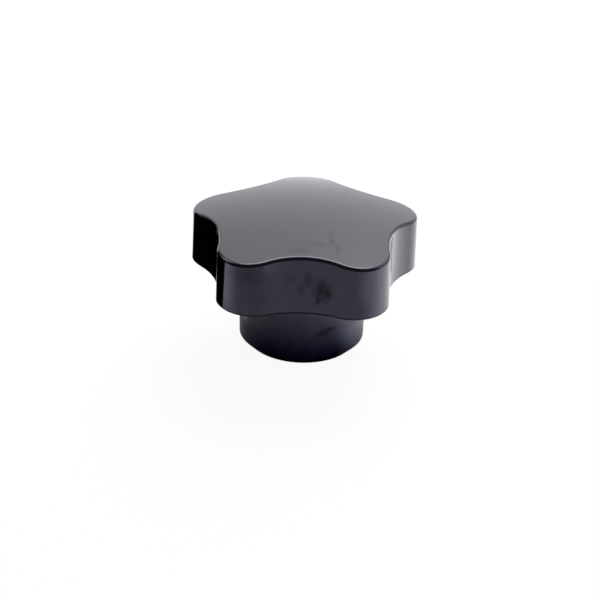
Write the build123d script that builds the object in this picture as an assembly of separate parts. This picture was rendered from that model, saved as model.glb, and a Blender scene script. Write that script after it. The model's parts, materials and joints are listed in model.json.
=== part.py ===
from build123d import *
import os
from math import atan2, cos, degrees, radians, sin, sqrt, tan

# A five-lobed star knob: one phenolic moulding, with a knurled brass bush moulded into its hub.
#
# Frame, in millimetres: +Z is the knob's axis, from the hub's foot up to the crowned top. The origin is
# the middle of the foot, where the knob seats. One lobe points along +Y.
#
# The mould parts in the plane of the head's underside. The head narrows upwards from that plane and the
# hub narrows downwards from it, so both halves of the mould release.

# Head
head_diameter = 50.0  # circle round the tips of the lobes, in the parting plane
lobe_count = 5
lobe_radius = 7.5  # nose of each lobe, in plan
scallop_depth = 5.5  # how far the hollows between the lobes reach in from that circle
head_side_height = 11.4  # from the parting plane to the crown's sphere, at the tips of the lobes
crown_radius = 100.0  # the top is part of a sphere
head_draft = 1.0  # degrees
top_edge_round = 0.8
parting_bevel = 0.4  # left where the flash is trimmed off

# Hub
hub_diameter = 27.3  # at its root, in the parting plane
hub_height = 15.8  # from the foot to the parting plane
hub_draft = 1.0  # degrees
hub_foot_chamfer = 1.8
hub_root_bevel = 1.0  # in the corner between the hub and the head's underside

# Threaded bush, for an M10 x 1.5 stud; its tapped wall is left at the tapping drill's size
thread_diameter = 10.0
tapping_drill_diameter = 8.5
bore_depth = 17.5  # full diameter, measured from the foot
drill_point_angle = 118.0  # degrees
mouth_clearance = 0.25  # the countersunk mouth is this much wider than the thread, all round
insert_diameter = 15.0  # over the knurls
insert_length = 22.0
insert_collar_length = 2.0  # plain stretch at the foot
insert_end_chamfer = 0.6
locking_groove_width = 3.0  # the plain groove that the resin fills, between two knurled bands
locking_groove_depth = 1.0
knurl_count = 24
knurl_depth = 0.4
knurl_angle = 90.0  # degrees, inside each V

# Plan of the head
lobe_pitch = 360.0 / lobe_count
half_pitch = lobe_pitch / 2
first_lobe_angle = 90.0
head_radius = head_diameter / 2
scallop_root_radius = head_radius - scallop_depth
lobe_centre_radius = head_radius - lobe_radius

# The hollow between two lobes is one arc that touches both noses and the root circle. Its centre lies
# outside the head, on the line half way between two lobes. With the triangle of the knob's axis, the
# nose's centre and that centre, the law of cosines gives the arc's radius.
cos_half = cos(radians(half_pitch))
scallop_radius = (
    lobe_radius**2
    - lobe_centre_radius**2
    - scallop_root_radius**2
    + 2 * lobe_centre_radius * scallop_root_radius * cos_half
) / (2 * (scallop_root_radius - lobe_centre_radius * cos_half - lobe_radius))
scallop_centre_radius = scallop_root_radius + scallop_radius
tangent_angle = degrees(
    atan2(
        scallop_centre_radius * sin(radians(half_pitch)),
        scallop_centre_radius * cos_half - lobe_centre_radius,
    )
)

hub_radius = hub_diameter / 2
tolerance = 0.001  # two sizes this near each other count as the same

# Heights
rim_height = hub_height + head_side_height
crown_centre_height = rim_height - sqrt(crown_radius**2 - head_radius**2)
crown_height = crown_centre_height + crown_radius


def polar(radius, angle):
    """The point of a plan at a radius and an angle in degrees."""
    return Vector(radius * cos(radians(angle)), radius * sin(radians(angle)))


def star_outline():
    """The head's plan: lobe_count noses joined by hollows, each tangent to the next."""
    arcs = []
    for lobe in range(lobe_count):
        lobe_angle = first_lobe_angle + lobe * lobe_pitch
        hollow_angle = lobe_angle + half_pitch
        arcs.append(
            CenterArc(
                polar(lobe_centre_radius, lobe_angle),
                lobe_radius,
                lobe_angle - tangent_angle,
                2 * tangent_angle,
            )
        )
        arcs.append(
            CenterArc(
                polar(scallop_centre_radius, hollow_angle),
                scallop_radius,
                lobe_angle + tangent_angle + 180,
                2 * (half_pitch - tangent_angle),
            )
        )
    return make_face(Curve(arcs))


def turned(outline):
    """A solid of revolution from a closed half section, given as edges in the XZ plane."""
    return revolve(make_face(Plane.XZ * Curve(outline)), Axis.Z)


def head():
    """The star, drafted, with a spherical top, a rounded top edge and a bevel at the parting plane."""
    tallest = crown_height - hub_height
    star = extrude(star_outline(), tallest, taper=head_draft)
    # the sphere's poles are turned to its sides, so that the crown is a plain patch of it
    crown = Pos(0, 0, crown_centre_height - hub_height) * Rot(90, 0, 0) * Sphere(crown_radius)
    star = Pos(0, 0, hub_height) * (star & crown)
    top = star.faces().sort_by(Axis.Z)[-1]
    star = fillet(top.edges(), top_edge_round)
    underside = star.faces().sort_by(Axis.Z)[0]
    return chamfer(underside.edges(), parting_bevel)


def hub():
    """The drafted hub under the head, chamfered at its foot. It runs up into the head to be joined."""
    foot_radius = hub_radius - hub_height * tan(radians(hub_draft))
    inside_head = hub_height + head_side_height / 2
    section = Polyline(
        (0, 0),
        (foot_radius, 0),
        (hub_radius, hub_height),
        (hub_radius, inside_head),
        (0, inside_head),
        close=True,
    )
    solid = turned([section])
    foot_edge = solid.edges().filter_by(GeomType.CIRCLE).sort_by(Axis.Z)[0]
    return chamfer(foot_edge, hub_foot_chamfer)


def insert_blank():
    """The bush before it is bored: collar, two knurled bands with the locking groove between, chamfer."""
    outer = insert_diameter / 2
    groove_floor = outer - locking_groove_depth
    band_length = (insert_length - insert_collar_length - locking_groove_width) / 2
    groove_start = insert_collar_length + band_length
    groove_end = groove_start + locking_groove_width
    section = Polyline(
        (0, 0),
        (outer, 0),
        (outer, groove_start),
        (groove_floor, groove_start),
        (groove_floor, groove_end),
        (outer, groove_end),
        (outer, insert_length - insert_end_chamfer),
        (outer - insert_end_chamfer, insert_length),
        (0, insert_length),
        close=True,
    )
    blank = turned([section])
    root = outer - knurl_depth
    beyond = outer + knurl_depth
    half_width = (beyond - root) * tan(radians(knurl_angle / 2))
    vee = make_face(Polyline((root, 0), (beyond, half_width), (beyond, -half_width), close=True))
    cutter = Pos(0, 0, insert_collar_length) * extrude(vee, insert_length)
    cutters = [Rot(0, 0, i * 360 / knurl_count) * cutter for i in range(knurl_count)]
    return blank - cutters


def insert_bore():
    """The tapping hole with its drill point, and the countersunk mouth."""
    drill = tapping_drill_diameter / 2
    mouth = thread_diameter / 2 + mouth_clearance
    point = drill / tan(radians(drill_point_angle / 2))
    section = Polyline(
        (0, 0),
        (mouth, 0),
        (drill, mouth - drill),
        (drill, bore_depth),
        (0, bore_depth + point),
        close=True,
    )
    return turned([section])


def is_hub_root(edge):
    """Is this edge the circle where the hub meets the head's underside?"""
    if edge.geom_type != GeomType.CIRCLE:
        return False
    in_parting_plane = abs(edge.center().Z - hub_height) < tolerance
    return in_parting_plane and abs(edge.radius - hub_radius) < tolerance


def knob_body():
    """Head and hub as one moulding, with the seat that the bush leaves in it."""
    body = head() + hub()
    root_edges = body.edges().filter_by(is_hub_root)
    body = chamfer(root_edges, hub_root_bevel)
    return body - insert_blank()


def threaded_insert():
    """The brass bush, flush with the foot."""
    return insert_blank() - insert_bore()


os.makedirs("parts", exist_ok=True)
export_step(knob_body(), "parts/knob_body.step")
export_step(threaded_insert(), "parts/threaded_insert.step")
print("plan: hollow radius", round(scallop_radius, 3), "crown height", round(crown_height, 3))
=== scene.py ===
"""Looks of a five-lobed star knob: the gloss phenolic moulding, its brass bush, and the table it stands on.

All lengths are in metres unless a docstring says otherwise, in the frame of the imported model: +Z is the
knob's axis, from the hub's foot at z = 0 up to the crowned top, and one lobe points along +Y.
"""

import json
import logging
from dataclasses import dataclass
from enum import Enum
from functools import reduce
from math import atan2, cos, pi, radians, sin, tan
from typing import NamedTuple

import bmesh
import bpy
import numpy as np
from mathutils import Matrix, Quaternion, Vector


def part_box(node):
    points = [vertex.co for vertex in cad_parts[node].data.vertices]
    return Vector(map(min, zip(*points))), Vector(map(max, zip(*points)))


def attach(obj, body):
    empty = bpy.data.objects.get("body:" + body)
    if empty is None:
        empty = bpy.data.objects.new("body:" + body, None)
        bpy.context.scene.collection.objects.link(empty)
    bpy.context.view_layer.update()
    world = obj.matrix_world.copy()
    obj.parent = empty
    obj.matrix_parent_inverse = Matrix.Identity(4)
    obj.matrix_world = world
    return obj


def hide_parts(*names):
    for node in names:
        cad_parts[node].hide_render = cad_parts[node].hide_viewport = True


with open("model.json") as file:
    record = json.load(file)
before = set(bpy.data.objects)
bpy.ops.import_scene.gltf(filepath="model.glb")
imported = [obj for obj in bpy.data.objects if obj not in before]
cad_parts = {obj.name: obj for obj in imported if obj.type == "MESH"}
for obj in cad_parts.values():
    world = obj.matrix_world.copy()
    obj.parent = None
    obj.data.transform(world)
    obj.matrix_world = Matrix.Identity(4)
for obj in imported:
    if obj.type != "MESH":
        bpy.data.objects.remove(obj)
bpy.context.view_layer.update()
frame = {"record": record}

log = logging.getLogger("star_knob")

MM = 0.001
WHITE = (1.0, 1.0, 1.0, 1.0)
DOWN = (0.0, 0.0, -1.0)

Array = np.ndarray
Colour = tuple[float, float, float, float]
Socket = bpy.types.NodeSocket
Feed = float | tuple | Socket
Feeds = dict[str | int, Feed]
Span = tuple[float, float]
Triple = tuple[float, float, float]


# ----- Surfaces -----


class Patch(NamedTuple):
    """Points and the unit normals there.

    Each is shaped (rings, columns, 3) on a surface and (columns, 2) in a plan. The mesh works out the
    normals itself where they are given as zero.
    """

    points: Array
    normals: Array


def shares(rows: int) -> Array:
    """Equal shares of a way, from 1 / rows up to 1, shaped (rows, 1, 1)."""
    return np.linspace(0, 1, rows + 1)[1:, None, None]


def directions(angles: Array) -> Array:
    """Unit vectors in plan, (cos(angle), sin(angle))."""
    return np.stack([np.cos(angles), np.sin(angles)], axis=1)


def raised(across: Array, height: Array) -> Array:
    """Rings in plan, shaped (rings, columns, 2), with heights as their third part."""
    return np.concatenate([across, np.broadcast_to(height, (*across.shape[:2], 1))], axis=2)


def rings(radius: Array, height: Array, angles: Array) -> Patch:
    """Rings round the axis, (r * cos(angle), r * sin(angle), z), with r and z shaped (rings, columns)."""
    points = raised(radius[..., None] * directions(angles), height[..., None])
    return Patch(points, np.zeros_like(points))


def added(name: str, data: bpy.types.ID) -> bpy.types.Object:
    """Adds an object to the scene, at the origin.

    Args:
        name: its name.
        data: its mesh, lamp or camera.

    Returns:
        The object.
    """
    thing = bpy.data.objects.new(name, data)
    bpy.context.scene.collection.objects.link(thing)
    return thing


def closed_piece(name: str, patches: list[Patch], first_pole: float, last_pole: float) -> bpy.types.Object:
    """Makes one closed mesh of patches, with each end closed by a fan round a point on the axis.

    The face between ring i and ring i + 1 joins columns j and j + 1, and the last column meets the first.
    Its corners go down the section first and then round, so faces point outwards when the columns run
    anticlockwise and the rings start at the top.

    Args:
        name: name of the object and its mesh.
        patches: the surface, in order down its section.
        first_pole: z of the point inside the first ring.
        last_pole: z of the point inside the last ring.

    Returns:
        The new object.
    """
    rows = np.concatenate([patch.points for patch in patches])
    normals = np.concatenate([patch.normals for patch in patches]).reshape(-1, 3)
    points = np.concatenate([[[0, 0, first_pole]], rows.reshape(-1, 3), [[0, 0, last_pole]]])
    index = np.arange(1, len(points) - 1).reshape(rows.shape[:2])
    following = np.roll(index, -1, axis=1)
    quads = np.stack([index[:-1], index[1:], following[1:], following[:-1]], axis=2).reshape(-1, 4)
    first_fan = np.stack([np.zeros_like(index[0]), index[0], following[0]], axis=1)
    last_fan = np.stack([np.full_like(index[0], len(points) - 1), following[-1], index[-1]], axis=1)
    mesh = bpy.data.meshes.new(name)
    mesh.from_pydata(points.tolist(), [], [*quads.tolist(), *first_fan.tolist(), *last_fan.tolist()])
    mesh.shade_smooth()
    pole = np.zeros((1, 3))
    mesh.normals_split_custom_set_from_vertices(np.concatenate([pole, normals, pole]).tolist())
    return added(name, mesh)


def enclosed_volume(piece: bpy.types.Object) -> float:
    """Measures a closed piece.

    Args:
        piece: the piece.

    Returns:
        Its volume in cubic millimetres, which is negative if the mesh is inside out.
    """
    solid = bmesh.new()
    solid.from_mesh(piece.data)
    volume = solid.calc_volume(signed=True)
    solid.free()
    return volume / MM**3


@dataclass(frozen=True)
class Section:
    """Half of a turned shape, from the top of the part down.

    It holds radii, heights and the normals' parts outwards and upwards, each shaped (rings, 1, 1).
    """

    radius: Array
    height: Array
    outward: Array
    upward: Array

    @classmethod
    def through(cls, corners: list[tuple[float, float]], crease: float, steps: int = 5) -> "Section":
        """A line through corners, with a small arc at each inner corner.

        Where the line turns by an angle t, an arc of the crease's radius touches both runs at
        crease * tan(t / 2) from the corner, and its points go round it in equal turns. The normal is the
        line's direction turned a quarter to the left, which is outwards on a line down the outside.

        Args:
            corners: radius and height of each corner, in order. The two ends stay as they are.
            crease: radius of every arc.
            steps: points on each arc.

        Returns:
            The section.
        """
        places = np.array(corners, float)
        runs = np.diff(places, axis=0)
        bearing = np.arctan2(runs[:, 1], runs[:, 0])
        turn = (np.diff(bearing) + pi) % (2 * pi) - pi
        facing = bearing[:-1, None] + np.linspace(0, 1, steps) * turn[:, None]
        start = places[1:-1] - directions(bearing[:-1]) * crease * np.tan(np.abs(turn) / 2)[:, None]
        bend = np.sign(turn)[:, None, None] * crease
        left = np.stack([-np.sin(facing), np.cos(facing)], axis=2)
        arcs = start[:, None] + bend * (left[:, :1] - left)
        points = np.concatenate([places[:1], arcs.reshape(-1, 2), places[-1:]])
        line = np.concatenate([bearing[:1], facing.ravel(), bearing[-1:]])
        return cls(*(part[:, None, None] for part in (*points.T, -np.sin(line), np.cos(line))))

    def along_plan(self, plan: Patch) -> Patch:
        """The section carried round a plan, its radii taken as offsets along the plan's normals."""
        points = raised(plan.points + self.radius * plan.normals, self.height)
        return Patch(points, raised(self.outward * plan.normals, self.upward))

    def round_axis(self, angles: Array) -> Patch:
        """The turned surface, at these polar angles: the section carried round a plan that is one point."""
        around = directions(angles)
        return self.along_plan(Patch(np.zeros_like(around), around))


# ----- Finishes -----


class Ray(Enum):
    """The kinds of ray that a surface can answer in its own way."""

    CAMERA = "Is Camera Ray"
    GLOSSY = "Is Glossy Ray"


@dataclass(frozen=True)
class Step:
    """A smooth change of level: where it starts, where it ends, and the level from there on."""

    start: float
    end: float
    level: float

    @property
    def span(self) -> Span:
        """Where the change starts and ends."""
        return self.start, self.end


@dataclass(frozen=True)
class Grain:
    """Cloudy noise: the size of its lumps, how many finer layers it has, and how strong each of them is."""

    size: float
    detail: float = 3.0
    roughness: float = 0.6


class Shader:
    """A node tree, with short methods for the nodes that the finishes share."""

    def __init__(self, tree: bpy.types.NodeTree) -> None:
        """Starts from an empty tree."""
        self.tree = tree
        self.tree.nodes.clear()

    @classmethod
    def of_material(cls, name: str) -> tuple["Shader", bpy.types.Material]:
        """Makes a new material.

        Args:
            name: the material's name.

        Returns:
            The shader that fills the material's tree, and the material.
        """
        material = bpy.data.materials.new(name)
        material.use_nodes = True
        return cls(material.node_tree), material

    def node(self, kind: str, inputs: Feeds | None = None, **settings: object) -> bpy.types.Node:
        """Adds a node.

        Args:
            kind: the node's type, without its ShaderNode prefix.
            inputs: what each input socket gets: a socket to link, or a value.
            settings: the node's own properties.

        Returns:
            The node.
        """
        made = self.tree.nodes.new("ShaderNode" + kind)
        for key, value in settings.items():
            setattr(made, key, value)
        for key, value in (inputs or {}).items():
            if isinstance(value, Socket):
                self.tree.links.new(value, made.inputs[key])
            else:
                made.inputs[key].default_value = value
        return made

    def place(self) -> Socket:
        """The point on the piece, in metres."""
        return self.node("TexCoord").outputs["Object"]

    def place_mm(self) -> Socket:
        """The point on the piece, in millimetres."""
        return self.vector_math("DIVIDE", self.place(), (MM, MM, MM))

    def parts(self, vector: Feed) -> tuple[Socket, ...]:
        """The x, y and z of a vector."""
        return tuple(self.node("SeparateXYZ", {0: vector}).outputs)

    def math(self, operation: str, *values: Feed) -> Socket:
        """One sum of numbers."""
        return self.node("Math", dict(enumerate(values)), operation=operation).outputs[0]

    def times(self, *factors: Feed) -> Feed:
        """The product of numbers."""
        return reduce(lambda product, factor: self.math("MULTIPLY", product, factor), factors)

    def highest(self, *values: Feed) -> Feed:
        """The highest of numbers."""
        return reduce(lambda top, value: self.math("MAXIMUM", top, value), values)

    def vector_math(self, operation: str, *values: Feed) -> Socket:
        """One sum of vectors, which gives a number where it is a length or a distance."""
        result = "Value" if operation in ("LENGTH", "DISTANCE") else "Vector"
        return self.node("VectorMath", dict(enumerate(values)), operation=operation).outputs[result]

    def off_axis(self, x: Feed, y: Feed) -> Socket:
        """Distance from the axis, the root of x * x + y * y."""
        return self.math("SQRT", self.math("ADD", self.times(x, x), self.times(y, y)))

    def fade(self, value: Feed, span: Span, low: Feed = 0.0, high: Feed = 1.0) -> Socket:
        """Goes smoothly from low, where value is at the span's start, to high, where it is at its end."""
        inputs = {"Value": value, "From Min": span[0], "From Max": span[1], "To Min": low, "To Max": high}
        return self.node("MapRange", inputs, interpolation_type="SMOOTHSTEP").outputs[0]

    def stepped(self, value: Feed, level: Feed, steps: tuple[Step, ...]) -> Feed:
        """The level that a value has come to, from this level on and step by step."""
        return reduce(lambda low, step: self.fade(value, step.span, low, step.level), steps, level)

    def blend(self, share: Feed, low: Feed, high: Feed) -> Socket:
        """A number between low and high."""
        return self.node("Mix", {0: share, 2: low, 3: high}, data_type="FLOAT").outputs[0]

    def tint(self, share: Feed, low: Feed, high: Feed) -> Socket:
        """A colour between low and high."""
        return self.node("Mix", {0: share, 6: low, 7: high}, data_type="RGBA").outputs[2]

    def noise(self, place: Feed, grain: Grain) -> Socket:
        """Noise of this grain, from 0 to 1."""
        inputs = {"Scale": 1 / grain.size, "Detail": grain.detail, "Roughness": grain.roughness}
        return self.node("TexNoise", {"Vector": place, **inputs}).outputs["Fac"]

    def bump(self, height: Feed, depth: float) -> Socket:
        """The normal of a surface whose relief is this deep in metres."""
        return self.node("Bump", {"Height": height, "Strength": 1.0, "Distance": depth}).outputs[0]

    def glow(self, kind: str, colour: Feed, strength: Feed) -> Socket:
        """Light of its own: kind is Emission on a surface and Background in the world."""
        return self.node(kind, {"Color": colour, "Strength": strength}).outputs[0]

    def by_ray(self, ray: Ray, others: Socket, this: Socket) -> Socket:
        """One surface for this kind of ray, and the other for the rest."""
        return self.either(self.node("LightPath").outputs[ray.value], others, this)

    def either(self, share: Feed, low: Socket, high: Socket) -> Socket:
        """A surface between low and high."""
        return self.node("MixShader", {0: share, 1: low, 2: high}).outputs[0]

    def output(self, surface: Socket, kind: str = "OutputMaterial") -> None:
        """Ends the tree with this surface."""
        self.node(kind, {"Surface": surface})


@dataclass(frozen=True)
class Smear:
    """A greasy dab left on the gloss by handling, in the form of an ellipsoid.

    Its middle and its half lengths are in millimetres, and its strength is how much of the gloss it takes.
    """

    middle: Triple
    reach: Triple
    strength: float


# Dabs on the front wall, on the hub and on the front of the top; the two broad ones on the front-left lobe
# are painted shade.
SMEARS = (
    Smear((3.9, -19.8, 21.4), (2.4, 3.0, 2.8), 0.5),
    Smear((3.75, -19.8, 22.6), (1.1, 2.0, 0.9), 0.66),
    Smear((3.5, -19.7, 21.3), (1.0, 2.0, 1.6), 0.72),
    Smear((3.1, -19.7, 19.3), (0.7, 2.0, 1.5), 0.62),
    Smear((4.9, -20.1, 21.0), (1.2, 2.0, 1.6), 0.68),
    Smear((1.0, -19.4, 23.4), (1.3, 2.0, 1.8), 0.37),
    Smear((-0.3, -19.4, 21.5), (1.0, 2.0, 1.6), 0.33),
    Smear((-2.5, -19.6, 23.6), (2.2, 2.0, 1.1), 0.2),
    # two broad dabs on the front-left lobe, painted shade that dims the reflection there
    Smear((-9.8, -21.5, 24.6), (5.2, 4.0, 2.8), 0.3),
    Smear((-9.0, -21.8, 20.0), (3.4, 4.0, 5.0), 0.22),
    Smear((4.6, -12.6, 8.0), (1.7, 2.0, 1.05), 0.68),
    Smear((5.9, -12.1, 8.7), (1.9, 2.0, 0.85), 0.68),
    Smear((5.7, -13.5, 29.3), (0.9, 1.5, 2.0), 0.26),
    Smear((6.6, -15.6, 29.0), (0.8, 2.2, 2.0), 0.18),
    Smear((5.3, -10.2, 29.6), (0.9, 2.5, 2.0), 0.12),
    Smear((2.6, -14.5, 29.2), (2.2, 1.1, 2.0), 0.16),
    Smear((-0.8, -17.0, 28.9), (2.6, 0.9, 2.0), 0.17),
)


@dataclass(frozen=True)
class PhenolicGloss:
    """Black phenolic as it comes from a polished mould: deep gloss, with light handling marks.

    The gloss is broken by faint orange peel, by hairlines in two directions, by a haze of fine dust, and by
    the smears, which are dull and a little olive. The bevel where the flash was trimmed is duller and a
    little brown.
    """

    name: str = "phenolic_gloss"
    colour: Colour = (0.004, 0.005, 0.0175, 1.0)
    ior: float = 1.6
    polish: float = 0.05  # roughness where the gloss is clean

    dusty_colour: Colour = (0.009, 0.0095, 0.0235, 1.0)
    dust: Grain = Grain(1.6 * MM)
    dust_span: Span = (0.38, 0.68)
    haze: Grain = Grain(7.0 * MM)
    haze_dullness: float = 0.07
    haze_span: Span = (0.35, 0.7)

    hairline: Grain = Grain(0.35 * MM, 1.0, 0.5)
    hairline_dullness: float = 0.10
    hairline_stretch: float = 0.03
    hairline_span: Span = (0.66, 0.76)
    hairline_turns: Span = (0.5, 2.1)
    hairline_tilt: float = 0.4
    peel: Grain = Grain(1.3 * MM, 1.0, 0.5)
    peel_depth: float = 0.0006 * MM

    smears: tuple[Smear, ...] = SMEARS
    smear_border: Span = (0.2, 1.3)
    oil_colour: Colour = (0.012, 0.0125, 0.009, 1.0)
    oil_dullness: float = 0.38
    ragged: Grain = Grain(0.9 * MM, 4.0, 0.9)
    ragged_middle: float = 0.5
    raggedness: float = 1.9

    trim_colour: Colour = (0.010, 0.008, 0.008, 1.0)
    trim_dullness: float = 0.3
    trim_wear: float = 0.6
    trim_reach: float = 0.3 * MM
    trim_margin: float = 0.05 * MM

    def hairlines(self, shader: Shader, turn: float) -> Socket:
        """Fine scratches that run one way: noise drawn out along one direction, and kept where it peaks.

        Args:
            shader: the tree to add to.
            turn: how far the direction is turned, and in proportion tilted.

        Returns:
            1 in a scratch and 0 between them.
        """
        stretch = (1, self.hairline_stretch, 1)
        inputs = {"Rotation": (turn, self.hairline_tilt * turn, turn), "Scale": stretch}
        drawn_out = shader.node("Mapping", {"Vector": shader.place(), **inputs}).outputs[0]
        return shader.fade(shader.noise(drawn_out, self.hairline), self.hairline_span)

    def smeared(self, shader: Shader) -> Feed:
        """How much of a smear is on a point: the strongest of them there.

        The offset from a smear's middle is divided by its half lengths, so that the smear is a ball of
        radius 1, and noise is added to the distance, so that it thins out along a ragged border.

        Args:
            shader: the tree to add to.

        Returns:
            0 where the gloss is clean, and up to 1.
        """
        place = shader.place_mm()
        noise = shader.noise(shader.place(), self.ragged)
        ragged = shader.times(shader.math("SUBTRACT", noise, self.ragged_middle), self.raggedness)
        covers = []
        for smear in self.smears:
            offset = shader.vector_math("SUBTRACT", place, smear.middle)
            scaled = shader.vector_math("DIVIDE", offset, smear.reach)
            distance = shader.math("ADD", shader.vector_math("LENGTH", scaled), ragged)
            covers.append(shader.fade(distance, self.smear_border, smear.strength, 0.0))
        return shader.highest(*covers)

    def build(self, trim: Span) -> bpy.types.Material:
        """Makes the material.

        Args:
            trim: lowest and highest z of the bevel that the trimmed flash left.

        Returns:
            The material.
        """
        shader, material = Shader.of_material(self.name)
        place = shader.place()
        height = shader.parts(place)[2]
        marks = self.smeared(shader)
        above = shader.fade(height, (trim[0] - self.trim_margin, trim[0] + self.trim_margin))
        below = shader.fade(height, (trim[1], trim[1] + self.trim_reach), 1.0, 0.0)
        trimmed = shader.times(above, below)

        haze = shader.noise(place, self.haze)
        hazy = shader.fade(haze, self.haze_span, self.polish, self.polish + self.haze_dullness)
        scratched = shader.highest(*(self.hairlines(shader, turn) for turn in self.hairline_turns))
        roughness = shader.math("MULTIPLY_ADD", scratched, self.hairline_dullness, hazy)
        roughness = shader.blend(marks, roughness, self.oil_dullness)
        roughness = shader.blend(trimmed, roughness, self.trim_dullness)

        dust = shader.fade(shader.noise(place, self.dust), self.dust_span)
        colour = shader.tint(dust, self.colour, self.dusty_colour)
        colour = shader.tint(marks, colour, self.oil_colour)
        colour = shader.tint(trimmed, colour, self.trim_colour)
        surface = {
            "Base Color": colour,
            # a metallic share takes its gloss from the dark base colour, so this is the share that is dull
            "Metallic": shader.highest(marks, shader.times(trimmed, self.trim_wear)),
            "Roughness": roughness,
            "IOR": self.ior,
            "Normal": shader.bump(shader.noise(place, self.peel), self.peel_depth),
        }
        shader.output(shader.node("BsdfPrincipled", surface).outputs[0])
        return material


@dataclass(frozen=True)
class TurnedBrass:
    """Brass as it leaves the lathe: fine turning rings on the face, satin walls, and dulled patches."""

    name: str = "turned_brass"
    colour: Colour = (0.80, 0.60, 0.28, 1.0)
    aged_colour: Colour = (0.62, 0.45, 0.22, 1.0)
    polish: float = 0.24
    dullness: float = 0.42
    patch: Grain = Grain(4.0 * MM)
    patch_span: Span = (0.4, 0.65)
    ring_spacing: float = 0.12 * MM
    ring_depth: float = 0.002 * MM

    def build(self) -> bpy.types.Material:
        """Makes the material. The turning rings are a sine wave of the distance from the axis.

        Returns:
            The material.
        """
        shader, material = Shader.of_material(self.name)
        place = shader.place()
        x, y, _ = shader.parts(place)
        turned = shader.math("SINE", shader.times(shader.off_axis(x, y), 2 * pi / self.ring_spacing))
        patches = shader.fade(shader.noise(place, self.patch), self.patch_span)
        surface = {
            "Base Color": shader.tint(patches, self.colour, self.aged_colour),
            "Metallic": 1.0,
            "Roughness": shader.blend(patches, self.polish, self.dullness),
            "Normal": shader.bump(turned, self.ring_depth),
        }
        shader.output(shader.node("BsdfPrincipled", surface).outputs[0])
        return material


# ----- The knob -----


class Piece:
    """A piece of the knob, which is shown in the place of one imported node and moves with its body."""

    name: str
    node: str
    slot: str

    def shape(self) -> bpy.types.Object:
        """Makes the piece's mesh."""
        raise NotImplementedError

    def finish(self) -> bpy.types.Material:
        """Makes the piece's material."""
        raise NotImplementedError

    def build(self) -> bpy.types.Object:
        """Makes the piece, dresses it and puts it in its node's place.

        Returns:
            The finished piece.
        """
        piece = self.shape()
        piece.data.materials.append(self.finish())
        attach(piece, "root")
        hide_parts(self.node)
        return piece


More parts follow.
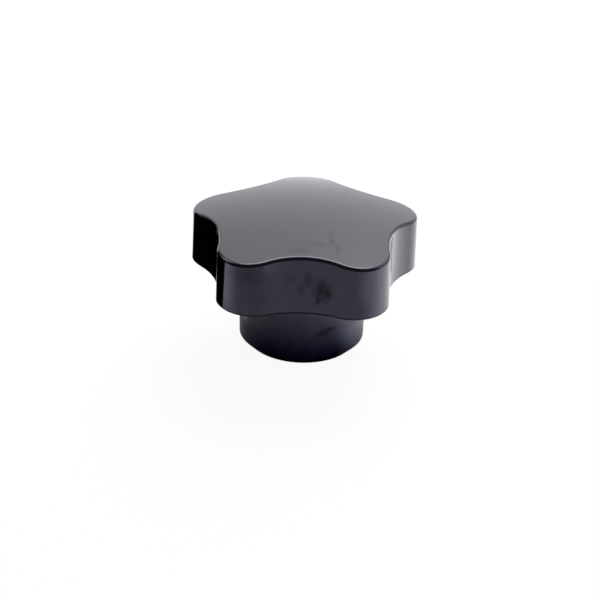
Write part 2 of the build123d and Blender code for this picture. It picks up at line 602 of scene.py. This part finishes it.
@dataclass(frozen=True)
class ThreadedBush(Piece):
    """The turned and knurled brass bush, with the blind M10 x 1.5 thread that opens at the foot."""

    radius: float
    length: float
    tapping_radius: float
    name: str = "threaded_bush"
    node: str = "threaded_insert"
    slot: str = "brass"
    collar_length: float = 2.0 * MM
    end_chamfer: float = 0.6 * MM
    groove_width: float = 3.0 * MM
    groove_depth: float = 1.0 * MM
    knurls: int = 24
    knurl_depth: float = 0.4 * MM
    thread_radius: float = 5.0 * MM
    thread_pitch: float = 1.5 * MM
    thread_angle: float = radians(60.0)
    root_flat: float = 1 / 8  # of the pitch
    thread_end: float = 15.0 * MM
    bore_depth: float = 17.5 * MM
    point_angle: float = radians(118.0)
    mouth_clearance: float = 0.25 * MM
    crease: float = 0.06 * MM
    step: float = 0.02 * MM  # height over which the outside changes its radius
    columns: int = 192
    rows_per_turn: int = 20

    @classmethod
    def from_frame(cls) -> "ThreadedBush":
        """Takes the bush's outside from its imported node, and its tapping hole from the thread's mount.

        Returns:
            The bush.
        """
        low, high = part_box(cls.node)
        mount = next(m for m in frame["record"]["mounts"] if m["kind"] == "threaded_hole")
        return cls(high[0], high[2] - low[2], mount["dims"]["r_mm"] * MM)

    @property
    def mouth_radius(self) -> float:
        """Radius of the countersunk mouth at the foot."""
        return self.thread_radius + self.mouth_clearance

    @property
    def groove(self) -> Span:
        """Lowest and highest z of the locking groove, which parts the knurls into two equal bands."""
        start = (self.length + self.collar_length - self.groove_width) / 2
        return start, start + self.groove_width

    def outside(self, angles: Array) -> Patch:
        """The outside, from the chamfered end down to the collar.

        A knurl is a V with a right angle in it, so its depth falls by as much as one moves along the
        surface from its middle. The locking groove is a plain band, and the end is chamfered.

        Args:
            angles: polar angle of each column.

        Returns:
            The patch.
        """
        start, end = self.groove
        down = [self.length, self.length - self.end_chamfer, end, end - self.step, start + self.step, start]
        height = np.array([*down, self.collar_length + self.step, self.collar_length])[:, None]
        pitch = 2 * pi / self.knurls
        from_middle = np.abs((angles + pitch / 2) % pitch - pitch / 2) * self.radius
        knurl = np.where(height > self.collar_length, np.maximum(self.knurl_depth - from_middle, 0), 0)
        chamfer = self.radius - self.end_chamfer + self.length - height
        in_groove = (height > start) & (height < end)
        wall = np.minimum(self.radius - knurl, chamfer)
        return rings(np.where(in_groove, self.radius - self.groove_depth, wall), height, angles)

    def bore(self, angles: Array) -> Patch:
        """The bore, from its mouth to the drill's full depth.

        A right-hand thread climbs by one pitch in a turn, so a point's place in the thread's form is its
        height less pitch * angle / 360 degrees, taken round a pitch. The form is a V with a flat at its
        root, cut into the wall of the tapping hole. The thread fades out over its last turn, and the
        countersunk mouth is a 45 degree cone.

        Args:
            angles: polar angle of each column.

        Returns:
            The patch.
        """
        pitch = self.thread_pitch
        spacing = pitch / self.rows_per_turn
        height = np.append(np.arange(spacing, self.thread_end + pitch, spacing), self.bore_depth)[:, None]
        climb = height - pitch * angles / (2 * pi)
        from_root = np.abs((climb + pitch / 2) % pitch - pitch / 2)
        cut = np.maximum(from_root - pitch * self.root_flat / 2, 0) / tan(self.thread_angle / 2)
        depth = np.clip(self.thread_radius - self.tapping_radius - cut, 0, None)
        depth = depth * np.clip((self.thread_end - height) / pitch, 0, 1)
        return rings(np.maximum(self.tapping_radius + depth, self.mouth_radius - height), height, angles)

    def shape(self) -> bpy.types.Object:
        """Makes the bush as one closed surface, from its buried end down the outside and up the bore.

        Returns:
            The bush's object.
        """
        angles = 2 * pi * np.arange(self.columns) / self.columns
        corners = [
            (self.radius, self.collar_length / 2),
            (self.radius, 0.0),
            (self.mouth_radius, 0.0),
            (self.mouth_radius - self.crease, self.crease),
        ]
        foot = Section.through(corners, self.crease / 2)
        patches = [self.outside(angles), foot.round_axis(angles), self.bore(angles)]
        point = self.tapping_radius / tan(self.point_angle / 2)
        return closed_piece(self.name, patches, self.length, self.bore_depth + point)

    def finish(self) -> bpy.types.Material:
        """Makes the bush's material."""
        return TurnedBrass().build()


@dataclass(frozen=True)
class StarPlan:
    """The head's plan in the parting plane: noses joined by hollows, each arc tangent to the next."""

    tip_radius: float
    lobes: int = 5
    nose_radius: float = 7.5 * MM
    hollow_depth: float = 5.5 * MM
    first_lobe: float = pi / 2
    nose_columns: int = 64
    hollow_columns: int = 32

    def trace(self) -> Patch:
        """The plan's points, anticlockwise from a lobe's right-hand side, and the outward normals there.

        A nose is an arc of nose_radius round a centre on the lobe's line. A hollow is an arc round a centre
        outside the head, on the line half way between two lobes. The law of cosines, in the triangle of the
        axis and both centres, gives the hollow's radius from the depth that it reaches.

        Returns:
            The plan.
        """
        half_pitch = pi / self.lobes
        nose_centre = self.tip_radius - self.nose_radius
        root = self.tip_radius - self.hollow_depth
        hollow_radius = (
            self.nose_radius**2 - nose_centre**2 - root**2 + 2 * nose_centre * root * cos(half_pitch)
        ) / (2 * (root - nose_centre * cos(half_pitch) - self.nose_radius))
        hollow_centre = root + hollow_radius
        tangent = atan2(hollow_centre * sin(half_pitch), hollow_centre * cos(half_pitch) - nose_centre)
        nose = np.linspace(-tangent, tangent, self.nose_columns, endpoint=False)
        hollow = np.linspace(tangent, 2 * half_pitch - tangent, self.hollow_columns, endpoint=False)
        facing = np.concatenate([nose, hollow])
        on_nose = np.arange(len(facing)) < self.nose_columns
        normal = directions(facing)
        between = hollow_centre * np.array([cos(half_pitch), sin(half_pitch)])
        centre = np.where(on_nose[:, None], np.array([nose_centre, 0.0]), between)
        point = centre + np.where(on_nose, self.nose_radius, -hollow_radius)[:, None] * normal
        lobe = self.first_lobe + 2 * half_pitch * np.arange(self.lobes)
        turns = np.array([[np.cos(lobe), -np.sin(lobe)], [np.sin(lobe), np.cos(lobe)]])
        return Patch(*(np.einsum("ijl,cj->lci", turns, part).reshape(-1, 2) for part in (point, normal)))


class EdgeBall(NamedTuple):
    """The ball that rolls along the top edge: its centres, and its ways to the sphere and the wall."""

    centres: Array
    to_sphere: Array
    to_wall: Array


@dataclass(frozen=True)
class KnobMoulding(Piece):
    """The head and hub in one piece, with the seat that the bush leaves in it."""

    plan: StarPlan
    bush: ThreadedBush
    crown_height: float
    name: str = "knob_moulding"
    node: str = "knob_body"
    slot: str = "phenolic"
    crown_radius: float = 100.0 * MM
    head_draft: float = radians(1.0)
    top_edge_round: float = 0.8 * MM
    parting_height: float = 15.8 * MM
    parting_bevel: float = 0.4 * MM
    hub_radius: float = 13.65 * MM
    hub_draft: float = radians(1.0)
    hub_root_bevel: float = 1.0 * MM
    hub_foot_chamfer: float = 1.8 * MM
    crease: float = 0.06 * MM
    crown_rows: int = 48
    edge_rows: int = 14
    wall_rows: int = 16
    underside_rows: int = 8
    settling_rounds: int = 6

    @classmethod
    def from_frame(cls, bush: ThreadedBush) -> "KnobMoulding":
        """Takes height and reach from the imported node, and adds what the draft takes off at the bevel."""
        _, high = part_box(cls.node)
        return cls(StarPlan(high[1] + cls.parting_bevel * tan(cls.head_draft)), bush, high[2])

    @property
    def skirt_height(self) -> float:
        """Height at which the wall ends and the lip begins."""
        return self.parting_height + 2 * self.parting_bevel

    @property
    def sphere_middle(self) -> Array:
        """The middle of the crown's sphere."""
        return np.array([0, 0, self.crown_height - self.crown_radius])

    def wall_offset(self, height: float | Array) -> float | Array:
        """Offset of the drafted wall from the plan: -(height - parting_height) * tan(draft)."""
        return -(height - self.parting_height) * tan(self.head_draft)

    def roll_ball(self, plan: Patch) -> EdgeBall:
        """Rolls the ball that rounds the top edge.

        Its centre is one ball radius inside the drafted wall and one inside the crown's sphere. With the
        centre at height z and offset n from the plan, n * cos(draft) + (z - parting_height) * sin(draft) is
        minus the ball's radius, and the centre is crown_radius less the ball's radius from the sphere's
        middle. The two are solved in turn, which settles fast because the wall is nearly upright.

        Args:
            plan: the head's plan.

        Returns:
            The ball, with each part shaped (columns, 3).
        """
        ball = self.top_edge_round
        middle = self.sphere_middle
        height = np.full(len(plan.points), self.crown_height)
        across = plan.points
        for _ in range(self.settling_rounds):
            offset = -(ball + (height - self.parting_height) * sin(self.head_draft)) / cos(self.head_draft)
            across = plan.points + offset[:, None] * plan.normals
            height = middle[2] + np.sqrt((self.crown_radius - ball) ** 2 - (across**2).sum(axis=1))
        centres = np.column_stack([across, height])
        rise = np.full(len(centres), sin(self.head_draft))
        to_wall = np.column_stack([plan.normals * cos(self.head_draft), rise])
        return EdgeBall(centres, (centres - middle) / (self.crown_radius - ball), to_wall)

    def crown(self, ball: EdgeBall) -> Patch:
        """The top: its rim drawn in towards the axis by equal shares, and lifted on to the sphere.

        Args:
            ball: the ball, which touches the sphere at the rim.

        Returns:
            The patch.
        """
        rim = ball.centres + self.top_edge_round * ball.to_sphere
        across = shares(self.crown_rows) * rim[:, :2]
        rise = np.sqrt(self.crown_radius**2 - (across**2).sum(axis=2, keepdims=True))
        from_middle = raised(across, rise)
        return Patch(self.sphere_middle + from_middle, from_middle / self.crown_radius)

    def edge(self, ball: EdgeBall) -> Patch:
        """The rounded edge: the ball's radius along directions on the great circle from sphere to wall.

        Args:
            ball: the ball.

        Returns:
            The patch.
        """
        swing = np.arccos((ball.to_sphere * ball.to_wall).sum(axis=1))[:, None]
        share = shares(self.edge_rows)
        towards = np.sin((1 - share) * swing) * ball.to_sphere + np.sin(share * swing) * ball.to_wall
        facing = towards / np.sin(swing)
        return Patch(ball.centres + self.top_edge_round * facing, facing)

    def wall(self, ball: EdgeBall, plan: Patch) -> Patch:
        """The side: straight down in equal shares from the rounded edge to the lip.

        Args:
            ball: the ball, which touches the wall at its top.
            plan: the head's plan.

        Returns:
            The patch.
        """
        top = (ball.centres + self.top_edge_round * ball.to_wall)[:, 2:]
        height = top + shares(self.wall_rows) * (self.skirt_height - top)
        side = raised(plan.points + self.wall_offset(height) * plan.normals, height)
        return Patch(side, np.broadcast_to(ball.to_wall, side.shape))

    def lip(self) -> Section:
        """From the wall over the parting bevel to the underside, as offsets from the plan.

        Returns:
            The section.
        """
        bevel_top = self.parting_height + self.parting_bevel
        corners = [
            (self.wall_offset(self.skirt_height), self.skirt_height),
            (self.wall_offset(bevel_top), bevel_top),
            (-self.parting_bevel, self.parting_height),
            (-2 * self.parting_bevel, self.parting_height),
        ]
        return Section.through(corners, self.crease)

    def hub(self) -> Section:
        """From the underside down the hub and across its foot to the rim of the bush's seat.

        Returns:
            The section.
        """
        slope = tan(self.hub_draft)
        foot_radius = self.hub_radius - self.parting_height * slope
        corners = [
            (self.hub_radius + 2 * self.hub_root_bevel, self.parting_height),
            (self.hub_radius + self.hub_root_bevel, self.parting_height),
            (self.hub_radius - self.hub_root_bevel * slope, self.parting_height - self.hub_root_bevel),
            (foot_radius + self.hub_foot_chamfer * slope, self.hub_foot_chamfer),
            (foot_radius - self.hub_foot_chamfer, 0.0),
            (self.bush.radius, 0.0),
            (self.bush.radius, self.bush.collar_length / 2),
        ]
        return Section.through(corners, self.crease)

    def shape(self) -> bpy.types.Object:
        """Makes the moulding as one closed surface, from the crown down to the foot and up into the seat.

        Returns:
            The moulding's object.
        """
        plan = self.plan.trace()
        angles = np.arctan2(plan.points[:, 1], plan.points[:, 0])
        ball = self.roll_ball(plan)
        lip = self.lip().along_plan(plan)
        hub = self.hub().round_axis(angles)
        share = shares(self.underside_rows)[:-1]
        underside = (1 - share) * lip.points[-1] + share * hub.points[0]
        seat = self.bush.outside(angles)
        patches = [
            self.crown(ball),
            self.edge(ball),
            self.wall(ball, plan),
            Patch(lip.points[1:], lip.normals[1:]),
            Patch(underside, np.broadcast_to(DOWN, underside.shape)),
            hub,
            Patch(seat.points[::-1], seat.normals),
        ]
        return closed_piece(self.name, patches, self.crown_height, self.bush.length)

    def finish(self) -> bpy.types.Material:
        """Makes the moulding's material."""
        return PhenolicGloss().build((self.parting_height, self.parting_height + self.parting_bevel))


# ----- Studio -----


@dataclass(frozen=True)
class Surround:
    """The white studio round the knob: white to the eye, plain for light, and graded in the gloss.

    The gloss mirrors a lamp overhead, a window on the left, a black screen behind it and a dim room on the
    camera's side. Directions are placed on a disc that is drawn to scale by area: (x, y) over the square
    root of 1 + z, with the zenith in its middle and the horizon at its rim. Each change is a span of a
    direction's own x, y or z, or of its place to the right or to the back on that disc.
    """

    colour: Colour = (1.015, 1.0, 1.055, 1.0)

    # plain light, which comes from the right
    plain_left: float = 0.02
    plain_right: float = 0.45
    plain_change: Span = (-0.15, 0.45)

    # the horizon, from left to right, and the gap between the screen and the white back
    horizon_left: float = 1.17
    horizon: tuple[Step, ...] = (Step(-0.35, 0.0, 1.32), Step(0.2, 0.5, 0.95))
    gap_loss: float = 0.55
    gap_left: Span = (-0.2, -0.32)
    gap_front: Span = (0.62, 0.48)

    # the studio brightens upwards, more on the right, to the lamp
    rise: Span = (1.6, 3.04)
    rise_change: Span = (-0.05, 0.25)
    rise_power: float = 3.2
    lamp: float = 2.12
    lamp_edge: Span = (0.8, 0.95)
    high_left: Span = (-0.4, -0.17)
    high_right: Span = (0.75, 0.15)

    window: float = 1.4
    window_place: Triple = (-0.65, 0.1, 0.0)
    window_edge: Span = (0.33, 0.1)
    screen_edge: Span = (-0.76, -0.64)
    screen_top: Span = (0.15, 0.4)
    room: float = 0.07
    room_edge: Span = (-0.2, -0.03)

    def beside_screen(self, shader: Shader, aside: Feed) -> Socket:
        """0 where the black screen on the left stands, by the level direction's part to the right."""
        return shader.fade(aside, self.screen_edge)

    def mirrored(self, shader: Shader, direction: Feed) -> Socket:
        """Strength of what the gloss mirrors above the horizon.

        Args:
            shader: the tree to add to.
            direction: the mirrored ray's direction.

        Returns:
            The strength.
        """
        x, y, z = shader.parts(direction)
        above = shader.highest(z, 0.0)
        spread = shader.math("SQRT", shader.math("ADD", above, 1.0))
        right = shader.math("DIVIDE", x, spread)
        back = shader.math("DIVIDE", y, spread)

        in_gap = shader.times(shader.fade(right, self.gap_left), shader.fade(back, self.gap_front))
        horizon = shader.stepped(right, self.horizon_left, self.horizon)
        low = shader.times(horizon, shader.math("MULTIPLY_ADD", in_gap, -self.gap_loss, 1.0))

        upwards = shader.math("POWER", above, self.rise_power)
        rise = shader.fade(x, self.rise_change, *self.rise)
        lamp = shader.fade(z, self.lamp_edge, 0.0, self.lamp)
        sides = shader.fade(right, self.high_left), shader.fade(right, self.high_right)
        high = shader.times(shader.math("MULTIPLY_ADD", upwards, rise, lamp), *sides)

        on_disc = shader.node("CombineXYZ", {0: right, 1: back}).outputs[0]
        from_window = shader.vector_math("DISTANCE", on_disc, self.window_place)
        window = shader.fade(from_window, self.window_edge, 0.0, self.window)
        level = shader.math("ADD", shader.math("ADD", low, high), window)
        level = shader.fade(back, self.room_edge, self.room, level)
        beside = self.beside_screen(shader, shader.math("DIVIDE", x, shader.off_axis(x, y)))
        return shader.times(level, shader.highest(beside, shader.fade(z, self.screen_top)))

    def build(self) -> bpy.types.World:
        """Fills the world: white for the camera, plain for soft light, and graded for the gloss.

        Returns:
            The world.
        """
        world = bpy.data.worlds.new("studio_surround")
        world.use_nodes = True
        bpy.context.scene.world = world
        shader = Shader(world.node_tree)
        direction = shader.node("TexCoord").outputs["Generated"]
        x, _, _ = shader.parts(direction)
        plain = shader.fade(x, self.plain_change, self.plain_left, self.plain_right)
        soft = shader.glow("Background", WHITE, plain)
        mirrored = shader.glow("Background", self.colour, self.mirrored(shader, direction))
        unseen = shader.by_ray(Ray.GLOSSY, soft, mirrored)
        white = shader.glow("Background", WHITE, 1.0)
        shader.output(shader.by_ray(Ray.CAMERA, unseen, white), "OutputWorld")
        return world


class Spot:
    """A point on the table in a node tree, with its distance from the axis and its bearing round the knob.

    Lengths are in millimetres, x to the right and y to the back. The bearing is in degrees, 0 in front and
    90 on the right, and aside is how far to the right that is, from -1 to 1.
    """

    def __init__(self, shader: Shader) -> None:
        """Reads the point.

        Args:
            shader: the tree to add to.
        """
        self.shader = shader
        self.x, self.y, _ = shader.parts(shader.place_mm())
        self.radius = shader.off_axis(self.x, self.y)
        self.aside = shader.math("DIVIDE", self.x, self.radius)
        self.bearing = shader.math("DEGREES", shader.math("ARCTAN2", self.x, shader.times(self.y, -1.0)))

    def out(self, span: Span, low: Feed = 0.0, high: Feed = 1.0) -> Socket:
        """Goes smoothly from low to high over a span of distances."""
        return self.shader.fade(self.radius, span, low, high)

    def turn(self, span: Span, low: Feed = 0.0, high: Feed = 1.0) -> Socket:
        """Goes smoothly from low to high over a span of bearings."""
        return self.shader.fade(self.bearing, span, low, high)


@dataclass(frozen=True)
class Table:
    """The white table, with a black patch painted on its left that keeps light off the knob's flank.

    The camera sees it white, with a faint shadow. The gloss sees an emission painted with light and
    shade: dim in front, bright on the right and the back, a painted shadow of the head round the foot, and
    black past a painted front edge. The black patch shows only in the gloss, and the soft light that the
    table gives off has painted shade on the left and round the foot.
    Each change is a span of place, distance or bearing, in the units of a Spot. A pair of levels is the one
    nearer the knob and the one farther out.
    """

    surround: Surround
    name: str = "studio_table"
    half_width: float = 3.0
    drop: float = 0.01 * MM

    # to the camera: a lit share that takes the shadow, and a glow that lifts it to white
    shadow_share: float = 0.12
    glow: float = 0.932

    # soft light that the table gives off, with painted shade from the black patch on the left and from the
    # head round the foot
    plain: float = 0.9
    plain_right: Span = (-36, -8)
    plain_clear: Span = (12, 34)

    # the black patch painted on the left of the table, which only the gloss sees
    black_patch_edge: Span = (-8.5, -13.5)
    black_patch_side: Span = (-32, -26)

    # painted light levels near the knob, from the left round the front to the right
    left: Span = (0.6, 1.15)
    left_clear: Span = (45, 60)
    left_turn: Span = (-72, -35)
    right: float = 1.8
    front: Span = (0.48, 0.57)
    front_right: Span = (0.68, 0.57)
    front_clear: Span = (40, 55)
    front_turn: Span = (-8, 24)
    hub_side: Span = (24, 80)
    lobe_edge: Span = (62, 70)
    lobe_side: tuple[Step, ...] = (Step(8, 50, 1.2), Step(44, 76, 1.8))

    # painted shade of the head round the foot
    shade_front: Span = (16, 40)
    shade_left: float = 0.3
    shade_left_turn: Span = (-30, -110)
    shade_right: tuple[Step, ...] = (Step(14, 25, 0.58), Step(25, 60, 1.0))
    shade_right_low: float = 0.18
    right_turn: Span = (40, 75)
    behind_turn: Span = (-115, -165)
    beside_foot: float = 0.85
    beside_turn: Span = (-84, -104)
    beside_clear: Span = (20, 25)
    under_foot: float = 0.5
    foot_edge: Span = (11.2, 11.6)

    # painted light levels far from the knob, from the front round the right to the back and on
    far_edge: Span = (80, 100)
    round_back: tuple[Step, ...] = (
        Step(50, 92, 1.4),
        Step(105, 130, 2.4),
        Step(140, 165, 1.4),
        Step(-125, -135, 1.12),
        Step(-140, -175, 1.4),
    )

    # the painted shade in the gloss turns bluer in front, and most of all by the foot
    far_colour: Colour = (1.015, 1.0, 1.06, 1.0)
    front_shade_colour: Colour = (1.0, 1.0, 1.25, 1.0)
    front_part: Span = (6, -28)
    foot_shade_colour: Colour = (1.0, 1.06, 2.3, 1.0)
    foot_part: Span = (30, 14)

    def off_black_patch(self, spot: Spot) -> Socket:
        """0 on the black patch painted on the left, as far as the black screen goes, and 1 elsewhere."""
        past_black_patch = spot.shader.fade(spot.y, self.black_patch_edge), spot.shader.fade(spot.x, self.black_patch_side)
        return spot.shader.highest(*past_black_patch, self.surround.beside_screen(spot.shader, spot.aside))

    def mirrored(self, spot: Spot) -> Socket:
        """Strength of the table in the gloss: painted light, and near the knob the head's painted shade.

        Args:
            spot: the point on the table.

        Returns:
            The strength.
        """
        shader = spot.shader
        left = spot.out(self.left_clear, *self.left)
        front, front_right = (spot.out(self.front_clear, *pair) for pair in (self.front, self.front_right))
        by_hub = spot.turn(self.front_turn, front, front_right)
        by_hub = spot.turn(self.hub_side, by_hub, self.right)
        by_lobe = shader.stepped(spot.bearing, front, self.lobe_side)
        right = shader.blend(spot.out(self.lobe_edge), by_hub, by_lobe)
        level = spot.turn(self.left_turn, left, right)

        shaded = spot.turn(self.shade_left_turn, 0.0, self.shade_left)
        in_front = spot.out(self.shade_front, shaded)
        on_right = shader.stepped(spot.radius, self.shade_right_low, self.shade_right)
        shade = shader.blend(spot.turn(self.right_turn), in_front, on_right)
        behind = spot.turn(self.behind_turn)
        level = shader.blend(behind, shader.times(level, shade), shader.times(on_right, self.right))
        beside = shader.times(spot.turn(self.beside_turn), spot.out(self.beside_clear))
        beside = shader.times(beside, shader.math("SUBTRACT", 1.0, behind))
        near = spot.out(self.foot_edge, self.under_foot, shader.blend(beside, level, self.beside_foot))
        return spot.out(self.far_edge, near, shader.stepped(spot.bearing, 0.0, self.round_back))

    def finish(self) -> bpy.types.Material:
        """Makes the table's material, which answers each kind of ray in its own way.

        Returns:
            The material. From below it is clear.
        """
        shader, material = Shader.of_material(self.name)
        spot = Spot(shader)
        # the table glows for soft light, with painted shade on the left and round the foot
        plain = shader.fade(spot.x, self.plain_right, 0.0, self.plain)
        plain = shader.times(plain, spot.out(self.plain_clear))
        lit = shader.node("BsdfDiffuse", {"Color": (*[self.shadow_share] * 3, 1.0)}).outputs[0]
        seen = shader.node("AddShader", {0: lit, 1: shader.glow("Emission", WHITE, self.glow)}).outputs[0]
        # the painted shade in the gloss is bluer in front and bluer still by the foot
        in_front = shader.fade(spot.y, self.front_part)
        colour = shader.tint(in_front, self.far_colour, self.front_shade_colour)
        colour = shader.tint(shader.times(spot.out(self.foot_part), in_front), colour, self.foot_shade_colour)
        # the gloss sees an emission painted with light and shade, black on the painted patch on the left
        strength = shader.times(self.mirrored(spot), self.off_black_patch(spot))
        mirrored = shader.glow("Emission", colour, strength)
        top = shader.by_ray(Ray.CAMERA, shader.glow("Emission", WHITE, plain), seen)
        top = shader.by_ray(Ray.GLOSSY, top, mirrored)
        below = shader.node("NewGeometry").outputs["Backfacing"]
        shader.output(shader.either(below, top, shader.node("BsdfTransparent").outputs[0]))
        return material

    def build(self) -> bpy.types.Object:
        """Adds the table, a square whose normal points up.

        Returns:
            The table's object.
        """
        edge = self.half_width
        corners = [(x * edge, y * edge, -self.drop) for x, y in ((-1, -1), (1, -1), (1, 1), (-1, 1))]
        mesh = bpy.data.meshes.new(self.name)
        mesh.from_pydata(corners, [], [(0, 1, 2, 3)])
        mesh.materials.append(self.finish())
        table = added(self.name, mesh)
        return table


def aim(thing: bpy.types.Object, place: Vector, target: Triple, roll: float = 0.0) -> None:
    """Puts a lamp or a camera at a place, turns it to a target and rolls it about its own axis.

    Args:
        thing: the lamp or camera.
        place: where it stands.
        target: the point that it faces.
        roll: how far it is rolled.
    """
    thing.location = place
    thing.rotation_mode = "QUATERNION"
    unrolled = (Vector(target) - place).to_track_quat("-Z", "Y")
    thing.rotation_quaternion = unrolled @ Quaternion((0, 0, 1), roll)


@dataclass(frozen=True)
class SoftLight:
    """A soft lamp over the knob: where it hangs, how wide it is and how strong it lights."""

    name: str = "overhead_softbox"
    place: Triple = (0.12, 0.45, 0.45)
    target: Triple = (0.0, 0.0, 0.0)
    width: float = 0.5
    power: float = 3.5

    def build(self) -> bpy.types.Object:
        """Adds a square area lamp that faces the knob and doesn't show in the gloss.

        Returns:
            The lamp's object.
        """
        data = bpy.data.lights.new(self.name, "AREA")
        data.shape = "SQUARE"
        data.size = self.width
        data.energy = self.power
        lamp = added(self.name, data)
        lamp.visible_glossy = False
        aim(lamp, Vector(self.place), self.target)
        return lamp


@dataclass(frozen=True)
class Viewpoint:
    """The camera: where it stands round the knob, what it aims at, and how far it is rolled."""

    name: str = "studio_camera"
    azimuth: float = radians(-0.05)
    elevation: float = radians(26.6)
    distance: float = 339.6 * MM
    centre_height: float = 15.0 * MM
    target: Triple = (-0.5 * MM, 0.0, 8.93 * MM)
    roll: float = radians(2.05)
    lens: float = 95.4
    sensor: float = 36.0
    clip: Span = (10 * MM, 20.0)

    def build(self) -> bpy.types.Object:
        """Adds the camera and makes it the scene's.

        From the axis at centre_height it stands off by distance * (sin(azimuth) * cos(elevation),
        -cos(azimuth) * cos(elevation), sin(elevation)).

        Returns:
            The camera's object.
        """
        level = cos(self.elevation)
        back = Vector((sin(self.azimuth) * level, -cos(self.azimuth) * level, sin(self.elevation)))
        data = bpy.data.cameras.new(self.name)
        data.lens = self.lens
        data.sensor_width = self.sensor
        data.clip_start, data.clip_end = self.clip
        camera = added(self.name, data)
        aim(camera, Vector((0, 0, self.centre_height)) + self.distance * back, self.target, self.roll)
        bpy.context.scene.camera = camera
        return camera


def main() -> None:
    """Builds the bush, the moulding and the studio in order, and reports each."""
    bush = ThreadedBush.from_frame()
    for part in (bush, KnobMoulding.from_frame(bush)):
        piece = part.build()
        log.info("%s: %d faces, %.0f mm3", piece.name, len(piece.data.polygons), enclosed_volume(piece))
    surround = Surround()
    for prop in (surround, Table(surround), SoftLight(), Viewpoint()):
        log.info("%s: built", prop.build().name)
    bpy.context.scene.view_settings.view_transform = "Standard"


if __name__ == "__main__":
    logging.basicConfig(level=logging.INFO, format="%(name)s: %(message)s")
    main()
